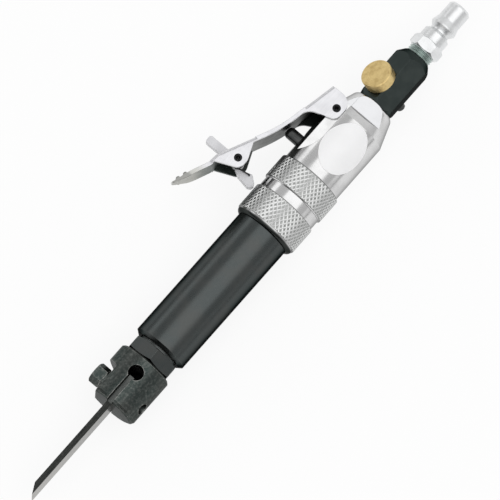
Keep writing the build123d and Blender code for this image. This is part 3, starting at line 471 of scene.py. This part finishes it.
labelFilm = skinFinish("labelFilm", {
    "base": (0.95, 0.95, 0.955), "second": (0.93, 0.93, 0.935), "cloud": 0.12, "skin": 0.7,
    "rough": 0.3, "coat": 0.25, "deep": 0.003,
})
sealRubber = skinFinish("sealRubber", {
    "base": (0.022, 0.022, 0.023), "second": (0.035, 0.035, 0.036), "cloud": 0.4, "skin": 3.0,
    "rough": 0.55, "coat": 0.0, "deep": 0.01,
})
bufferRubber = skinFinish("bufferRubber", {
    "base": (0.035, 0.035, 0.035), "second": (0.05, 0.049, 0.047), "cloud": 0.3, "skin": 2.0,
    "rough": 0.62, "coat": 0.0, "deep": 0.015,
})

# which nodes take which finish
nodeFinish = {
    barrelSteel: ["barrel", "front_cap"],
    chuckSteel: ["blade_chuck", "clamp_bolt", "clamp_washer"],
    bladeSteel: ["scraper_blade"],
    groundSteel: ["piston", "piston_rings", "valve_disc", "valve_front_plate", "valve_rear_plate",
                  "throttle_bush", "inlet_screen"],
    polishedAluminium: ["union_collar", "rear_housing"],
    leverPlate: ["throttle_lever"],
    darkPin: ["throttle_plunger", "spindle_clip", "regulator_spindle"],
    rollPin: ["lever_pin", "lock_pin"],
    springWire: ["lock_spring", "throttle_spring"],
    lockPaint: ["safety_lock"],
    labelFilm: ["label_plate"],
    adapterBlack: ["hose_adapter"],
    knobBrass: ["regulator_knob"],
    bronzeBush: ["guide_bush"],
    plugZinc: ["air_plug"],
    sealRubber: ["rod_wiper", "cap_seal", "valve_seal", "bush_seal", "poppet_seal", "spindle_seal",
                 "adapter_seal", "plug_seal"],
    bufferRubber: ["front_buffer"],
}
for finish, names in nodeFinish.items():
    for name in names:
        nodes[name].data.materials.clear()
        nodes[name].data.materials.append(finish)
print("finishes on", sum(len(names) for names in nodeFinish.values()), "nodes")


# a mesh object from points in millimetres and triangles, turned outside out if its volume comes out negative
def meshPiece(name, points, faces, finish, smooth):
    corners = points[faces]
    volume = np.einsum("ij,ij->", corners[:, 0], np.cross(corners[:, 1], corners[:, 2]))
    ordered = faces if volume > 0 else faces[:, ::-1]
    mesh = bpy.data.meshes.new(name)
    mesh.from_pydata((points * mm).tolist(), [], ordered.tolist())
    mesh.polygons.foreach_set("use_smooth", np.full(len(ordered), smooth))
    mesh.materials.append(finish)
    mesh.update()
    piece = bpy.data.objects.new(name, mesh)
    bpy.context.scene.collection.objects.link(piece)
    return piece


# Knurled band of crossing ridges with pits between. The radius over angle and length is the root, plus the
# depth times 1 less the smaller of 1 and steep times tri. There tri is the smaller of two triangle waves,
# which count the crossing helices and rise from 0 on a ridge to 1 midway. Each row turns the helices by one
# sample, so ridges lie on cell diagonals. Two more rows, at the wall's radius, close the band on its inside.
def knurlBand(spec):
    around = spec["starts"] * spec["samples"]
    rows = spec["rows"]
    row, col = np.meshgrid(np.arange(rows + 1), np.arange(around), indexing="ij")
    tri = [1 - np.abs(2 * ((col + sign * row) / spec["samples"] % 1.0) - 1) for sign in (1, -1)]
    height = 1 - np.minimum(1.0, spec["steep"] * np.minimum(*tri))
    height[[0, -1]] = 0.0
    radius = spec["root"] + spec["depth"] * height
    x = spec["from"] + (spec["to"] - spec["from"]) * row / rows
    walls = np.full((1, around), spec["root"] - spec["wall"])
    radius = np.concatenate([radius, walls, walls])
    x = np.concatenate([x, np.full((1, around), spec["to"]), np.full((1, around), spec["from"])])
    angle = 2 * np.pi * np.arange(around) / around
    points = np.stack([x, radius * np.cos(angle), radius * np.sin(angle)], axis=-1).reshape(-1, 3)
    index = np.arange(radius.size).reshape(radius.shape)
    a, b = index, np.roll(index, -1, axis=1)
    d, c = np.roll(a, -1, axis=0), np.roll(b, -1, axis=0)
    high = radius.reshape(-1)
    fold = (high[a] + high[c] >= high[b] + high[d])[..., None]  # split each cell along its higher diagonal
    first = np.where(fold, np.stack([a, b, c], -1), np.stack([a, b, d], -1))
    second = np.where(fold, np.stack([a, c, d], -1), np.stack([b, c, d], -1))
    faces = np.concatenate([first.reshape(-1, 3), second.reshape(-1, 3)])
    piece = meshPiece(spec["name"], points, faces, knurledAluminium, False)
    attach(piece, "body")


knurl = {"root": 17.73, "depth": 0.22, "steep": 1.8, "wall": 0.6, "starts": 46, "samples": 10}
collarBand = {"name": "collarKnurl", "from": 2.6, "to": 17.0, "rows": 45, **knurl}
housingBand = {"name": "housingKnurl", "from": 23.3, "to": 36.7, "rows": 42, **knurl}
for band in (collarBand, housingBand):
    knurlBand(band)
print("knurled bands made")


# Round wire along a path: each station carries a circle square to its tangent, set out from a side direction.
def wirePiece(name, path, side, radius, sides, finish):
    tangent = np.gradient(path, axis=0)
    tangent /= np.linalg.norm(tangent, axis=1, keepdims=True)
    first = np.cross(tangent, side)
    first /= np.linalg.norm(first, axis=1, keepdims=True)
    second = np.cross(tangent, first)
    angle = 2 * np.pi * np.arange(sides) / sides
    ring = np.cos(angle)[None, :, None] * first[:, None] + np.sin(angle)[None, :, None] * second[:, None]
    wall = (path[:, None] + radius * ring).reshape(-1, 3)
    points = np.concatenate([wall, path[:1], path[-1:]])
    index = np.arange(len(path) * sides).reshape(len(path), sides)
    turned = np.roll(index, -1, axis=1)
    quads = np.stack([index[:-1], turned[:-1], turned[1:], index[1:]], -1).reshape(-1, 4)
    tip, tail = len(wall), len(wall) + 1
    tipCap = np.stack([turned[0], index[0], np.full(sides, tip)], -1)
    tailCap = np.stack([index[-1], turned[-1], np.full(sides, tail)], -1)
    tris = np.concatenate([quads[:, [0, 1, 2]], quads[:, [0, 2, 3]], tipCap, tailCap])
    return meshPiece(name, points, tris, finish, True)


lockSpring = {
    "hub": (19.2, 32.8), "hook": (17.7, 23.9), "coil": 3.0, "pitch": 1.25, "lowZ": 3.9, "turns": 3,
    "legHeading": -18.7, "leg": 7.5, "bend": 1.0, "hookLong": 2.0, "wire": 0.4, "sides": 14,
    "points": {"hook": 8, "bend": 14, "leg": 20, "coil": 260, "tail": 16},
    "wound": 3.33,  # turns between the two legs, over which the wire twists
}


# Torsion spring: a short hook along Z, a quarter bend, a straight leg that meets the coil at a tangent,
# a helix that winds clockwise while it climbs, and a straight leg that leaves it at a tangent.
def lockSpringPath(spec):
    hub, count = np.array(spec["hub"]), spec["points"]
    toHub = hub - np.array(spec["hook"])
    far = np.linalg.norm(toHub)
    heading = math.atan2(toHub[1], toHub[0]) + math.asin(spec["coil"] / far)
    startTurn = heading + math.pi / 2
    endTurn = math.radians(spec["legHeading"] + 90) - 2 * math.pi * spec["turns"]
    turn = np.linspace(startTurn, endTurn, count["coil"])
    climb = spec["lowZ"] + spec["pitch"] * (startTurn - turn) / (2 * math.pi)
    coil = np.stack([hub[0] + spec["coil"] * np.cos(turn), hub[1] + spec["coil"] * np.sin(turn), climb], -1)
    rise = spec["pitch"] / (2 * math.pi * spec["coil"])
    tangents = np.stack([np.sin(turn), -np.cos(turn), np.full_like(turn, rise)], -1) / math.hypot(1, rise)
    meet, leave = tangents[0], tangents[-1]
    corner = coil[0] - meet * math.sqrt(far ** 2 - spec["coil"] ** 2)
    up = np.array([0.0, 0.0, 1.0])
    sweep = np.linspace(0, math.pi / 2, count["bend"])[:, None]
    bend = corner - spec["bend"] * (1 - np.sin(sweep)) * up + spec["bend"] * (1 - np.cos(sweep)) * meet
    hookEnd = corner - (spec["bend"] + spec["hookLong"]) * up
    hookLine = hookEnd + np.linspace(0, 1, count["hook"])[:-1, None] * (bend[0] - hookEnd)
    legLine = bend[-1] + np.linspace(0, 1, count["leg"])[1:-1, None] * (coil[0] - bend[-1])
    tailLine = coil[-1] + np.linspace(0, spec["leg"], count["tail"])[1:, None] * leave
    side = np.array([-math.cos(heading), -math.sin(heading), 1.0])
    return np.concatenate([hookLine, bend, legLine, coil, tailLine]), side


path, side = lockSpringPath(lockSpring)
lockWire = wirePiece("lockSpringWire", path, side, lockSpring["wire"], lockSpring["sides"], springWire)
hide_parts("lock_spring")
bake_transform(lockWire)

throttleCoil = {"x": 48.0, "fromY": -11.0, "toY": 2.2, "radius": 3.75, "wire": 0.4, "turns": 6.0,
                "dead": 0.9, "gap": 0.05, "travel": 3.6, "sides": 12, "points": 420}


# Compression spring along Y: the height climbs evenly except over a dead turn at each end, where it only
# climbs by the wire's own thickness and a small gap.
def throttleCoilPath(spec):
    turn = np.linspace(0, spec["turns"], spec["points"])
    low, high = spec["fromY"] + spec["wire"], spec["toY"] - spec["wire"]
    step = 2 * spec["wire"] + spec["gap"]
    knots = [0.0, spec["dead"], spec["turns"] - spec["dead"], spec["turns"]]
    y = np.interp(turn, knots, [low, low + step, high - step, high])
    angle = 2 * np.pi * turn
    return np.stack([spec["x"] + spec["radius"] * np.cos(angle), y, spec["radius"] * np.sin(angle)], -1)


coilWire = wirePiece("throttleCoil", throttleCoilPath(throttleCoil), np.array([0.0, 1.0, 0.0]),
                     throttleCoil["wire"], throttleCoil["sides"], springWire)
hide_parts("throttle_spring")
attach(coilWire, "body")
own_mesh(coilWire)
print("springs made")

floorSpec = {"z": -18.0, "half": 6.0, "lines": 3, "paper": (0.94, 0.94, 0.94), "fibre": (0.96, 0.96, 0.96),
             "glow": 0.87}  # z in millimetres, half in metres


# Floor: a flat grid at one height, of white paper. What the camera, reflections and glass see of it is mostly
# plain white, by the share of glow, so that the shadow on it stays faint.
def makeFloor(spec):
    steps = np.linspace(-spec["half"], spec["half"], spec["lines"])
    gx, gy = np.meshgrid(steps, steps, indexing="ij")
    points = np.stack([gx, gy, np.full_like(gx, spec["z"] * mm)], -1).reshape(-1, 3)
    index = np.arange(gx.size).reshape(gx.shape)
    faces = np.stack([index[:-1, :-1], index[1:, :-1], index[1:, 1:], index[:-1, 1:]], -1).reshape(-1, 4)
    mesh = bpy.data.meshes.new("floor")
    mesh.from_pydata(points.tolist(), [], faces.tolist())
    material, start, place = startFinish("floorPaper")
    fleck = noise(place, scale=0.03)
    paper = start.node("ShaderNodeBsdfDiffuse", None, {"Color": fleck.tint(spec["paper"], spec["fibre"])})
    white = start.node("ShaderNodeEmission", None, {"Color": grey(1.0), "Strength": 1.0})
    kinds = ("Camera", "Glossy", "Transmission")
    camera, glossy, through = [start.node("ShaderNodeLightPath", out=f"Is {kind} Ray") for kind in kinds]
    seen = camera.most(glossy.most(through))
    sheet = start.node("ShaderNodeMixShader", None, {0: seen * spec["glow"], 1: paper, 2: white})
    start.node("ShaderNodeOutputMaterial", None, {"Surface": sheet})
    mesh.materials.append(material)
    floor = bpy.data.objects.new("floor", mesh)
    bpy.context.scene.collection.objects.link(floor)


makeFloor(floorSpec)

# soft boxes: where they stand, facing the tool, in metres; their size along and across it; and how bright
# their face is
lampSpec = {
    "overheadBox": {"at": (-0.2, -0.55, 3.0), "size": (5.2, 3.7), "face": 0.78},
    "frontBox": {"at": (-2.5, 0.3, 1.6), "size": (1.4, 2.6), "face": 0.25},
    "leverSideBox": {"at": (0.1, 2.0, 0.86), "size": (2.8, 0.7), "face": 0.8},
    "farSideBox": {"at": (0.1, -2.0, 0.5), "size": (2.8, 0.5), "face": 0.4},
}
for name, spec in lampSpec.items():
    lamp = bpy.data.lights.new(name, "AREA")
    lamp.shape = "RECTANGLE"
    lamp.size, lamp.size_y = spec["size"]
    lamp.energy = spec["face"] * math.pi * lamp.size * lamp.size_y
    lampObject = bpy.data.objects.new(name, lamp)
    spot = Vector(spec["at"])
    back = spot.normalized()
    long = (Vector((1.0, 0.0, 0.0)) - back * back.x).normalized()
    turn = Matrix((long, back.cross(long), back)).transposed().to_4x4()
    lampObject.matrix_world = Matrix.Translation(spot) @ turn
    lampObject.visible_camera = False
    bpy.context.scene.collection.objects.link(lampObject)

# the room: grey all round, lighter overhead and beyond the plug, dark low down beyond the blade's end; each
# pair says where, in a direction's X or Z, a change starts and ends
roomSpec = {"level": 0.38, "above": 0.2, "aboveOver": (0.05, 0.6), "rear": 0.25, "rearOver": (0.3, 0.8),
            "darkFront": 0.34, "frontOver": (0.2, 0.7), "lowOver": (0.2, 0.5)}


def makeRoom(spec):
    world = bpy.data.worlds.new("studio")
    world.use_nodes = True
    world.node_tree.nodes.clear()
    start = Wire(world.node_tree)
    x, z = parts(start.node("ShaderNodeTexCoord", out="Generated"))[::2]
    front = (0.0 - x).ease(*spec["frontOver"]) * (1.0 - z.ease(*spec["lowOver"]))
    shift = x.ease(*spec["rearOver"]) * spec["rear"] - front * spec["darkFront"]
    strength = z.ease(*spec["aboveOver"]) * spec["above"] + spec["level"] + shift
    sky = start.node("ShaderNodeBackground", None, {"Color": grey(1.0), "Strength": strength})
    start.node("ShaderNodeOutputWorld", None, {"Surface": sky})
    bpy.context.scene.world = world


makeRoom(roomSpec)
print("floor, lamps and world made")

# the camera stands far off, nearly over the tool, tipped towards its front and away from the lever; its
# target is in millimetres, and away and width, what it sees across, are in metres
cameraSpec = {"tip": 10.0, "roll": 7.0, "spin": 48.5, "target": (-10.57, -1.09, 0.0), "away": 8.0,
              "width": 0.24995, "sensor": 36.0, "clip": (0.1, 50.0)}


def makeCamera(spec):
    tip, roll = math.radians(spec["tip"]), math.radians(spec["roll"])
    back = Vector((-math.sin(tip), -math.sin(roll) * math.cos(tip), math.cos(roll) * math.cos(tip)))
    along = Vector((math.cos(tip), -math.sin(tip) * math.sin(roll), math.sin(tip) * math.cos(roll)))
    over = Vector((0.0, math.cos(roll), math.sin(roll)))
    spin = math.radians(spec["spin"])
    right = along * math.cos(spin) - over * math.sin(spin)
    up = along * math.sin(spin) + over * math.cos(spin)
    data = bpy.data.cameras.new("photoCamera")
    data.sensor_width = spec["sensor"]
    data.lens = spec["sensor"] * spec["away"] / spec["width"]
    data.clip_start, data.clip_end = spec["clip"]
    camera = bpy.data.objects.new("photoCamera", data)
    spot = Vector(spec["target"]) * mm + back * spec["away"]
    camera.matrix_world = Matrix.Translation(spot) @ Matrix((right, up, back)).transposed().to_4x4()
    bpy.context.scene.collection.objects.link(camera)
    bpy.context.scene.camera = camera


makeCamera(cameraSpec)
bpy.context.scene.view_settings.view_transform = "Standard"
